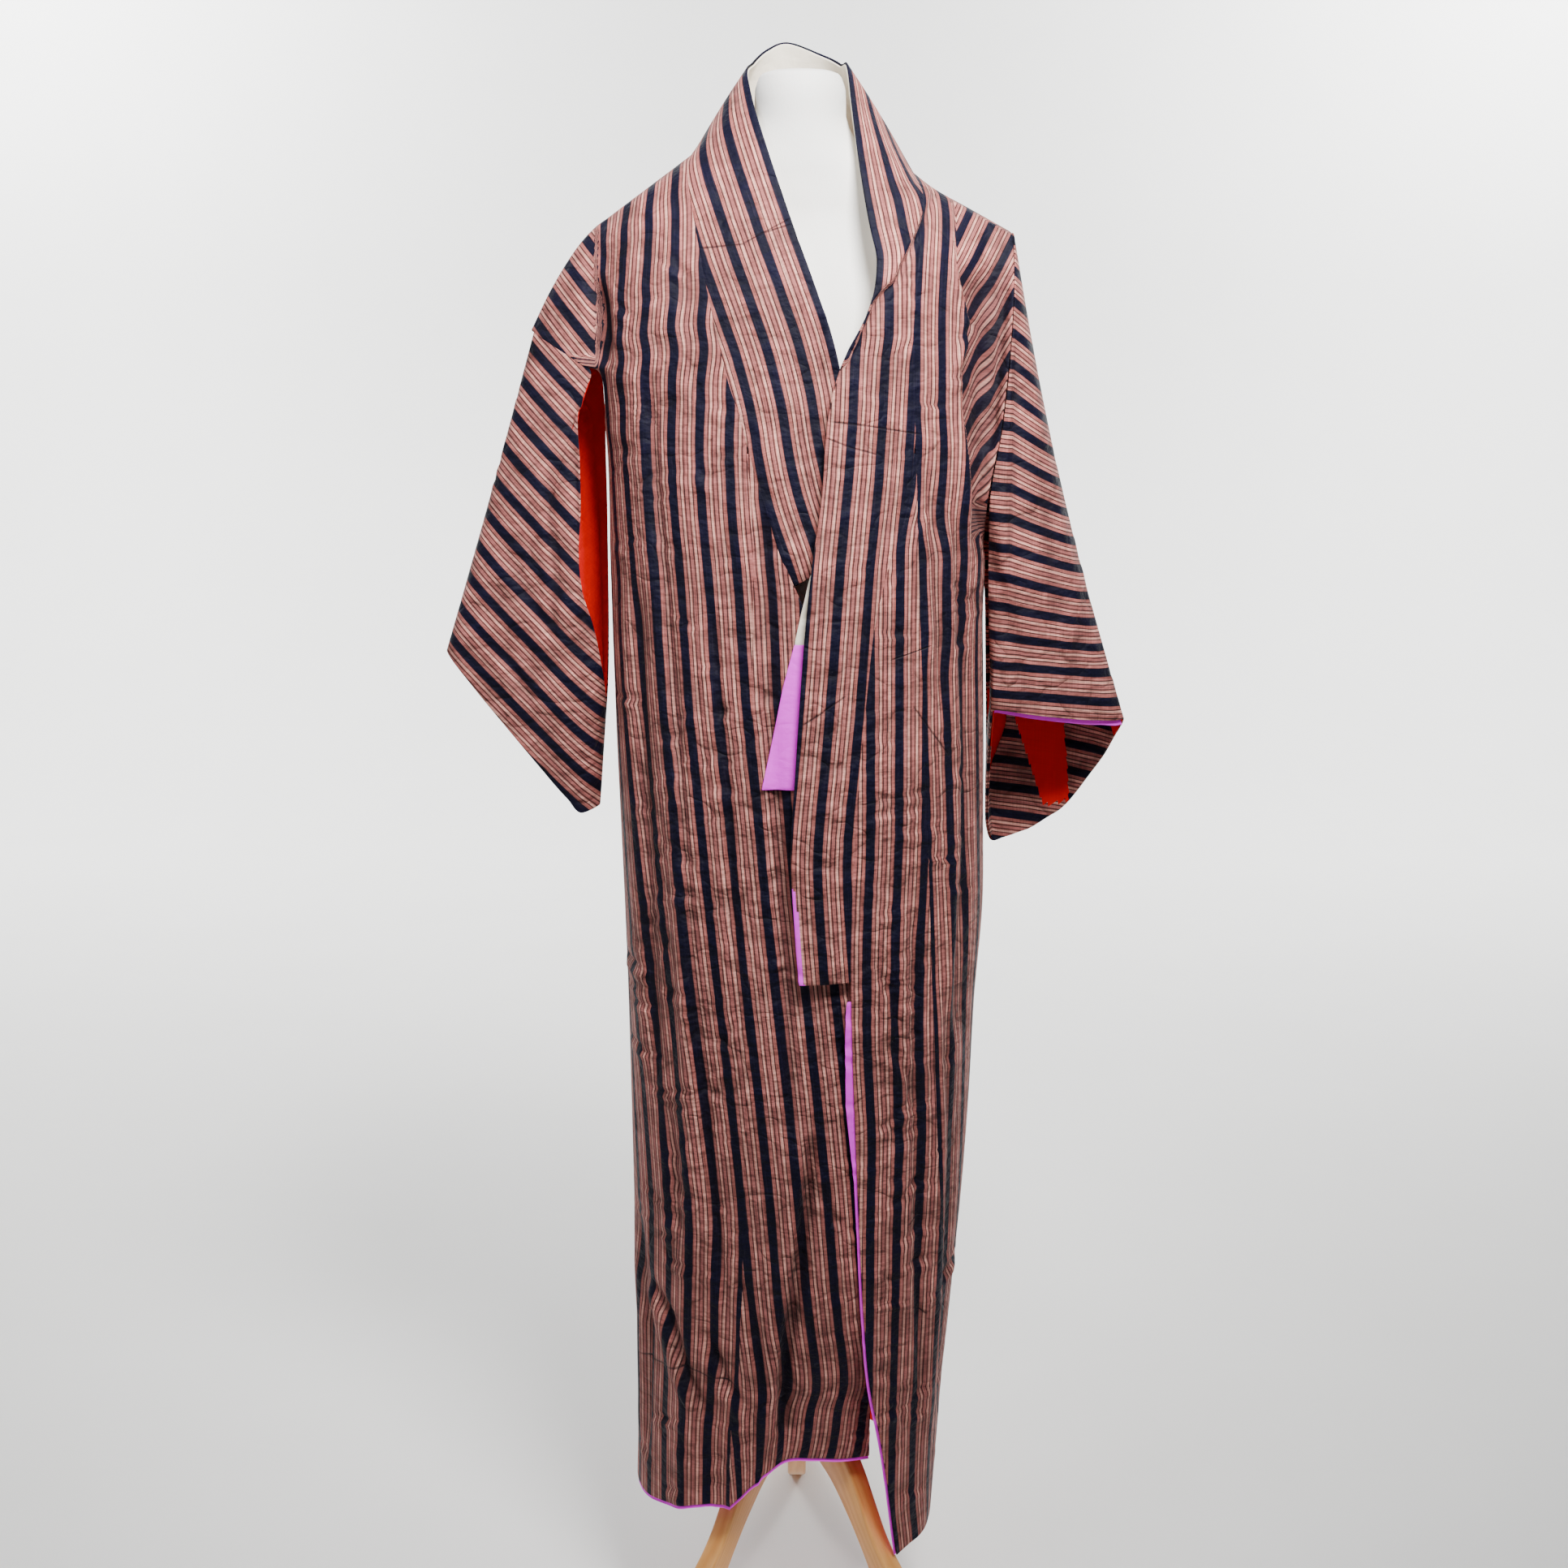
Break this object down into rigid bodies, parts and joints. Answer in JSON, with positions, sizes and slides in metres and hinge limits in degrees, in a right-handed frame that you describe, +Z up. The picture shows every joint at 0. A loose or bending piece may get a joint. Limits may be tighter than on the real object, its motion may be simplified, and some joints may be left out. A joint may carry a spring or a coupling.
{
  "type": "kimono on dress form",
  "caption": "Lined striped kimono with open hanging sleeves and a long collar, draped left over right on a limbless white form on a three-legged wooden stand",
  "frame": {"origin": "middle of the footprint, on the floor under the stand's feet", "axes": "+Z up, -Y to the front of the kimono, +X to the wearer's left"},
  "size_m": [0.695, 0.5166, 1.6924],
  "materials": {
    "striped_silk": "striped woven silk, matt with a slight sheen",
    "red_lining": "plain red lining silk",
    "violet_facing": "plain pink-violet facing silk",
    "white_lining": "plain off-white collar lining",
    "form_cover": "smooth white jersey over a hard form",
    "steel": "brushed steel tube",
    "beech": "clear-lacquered beech, orange in tone"
  },
  "bodies": {
    "root": {"body_panel_right": "striped_silk", "body_panel_left": "striped_silk", "overlap_panel_right": "striped_silk", "overlap_panel_left": "striped_silk", "collar": "striped_silk", "sleeve_right": "striped_silk", "sleeve_left": "striped_silk", "sleeve_right_lining": "red_lining", "sleeve_left_lining": "red_lining", "collar_lining": "white_lining", "hem_facing_right": "violet_facing", "hem_facing_left": "violet_facing", "hem_facing_overlap": "violet_facing", "edge_facing_left": "violet_facing", "cuff_facing_left": "violet_facing", "collar_end_white": "white_lining", "collar_end_violet": "violet_facing", "form_torso": "form_cover", "form_pole": "steel", "stand_hub": "beech", "leg_left": "beech", "leg_right": "beech", "leg_rear": "beech"}
  },
  "joints": []
}
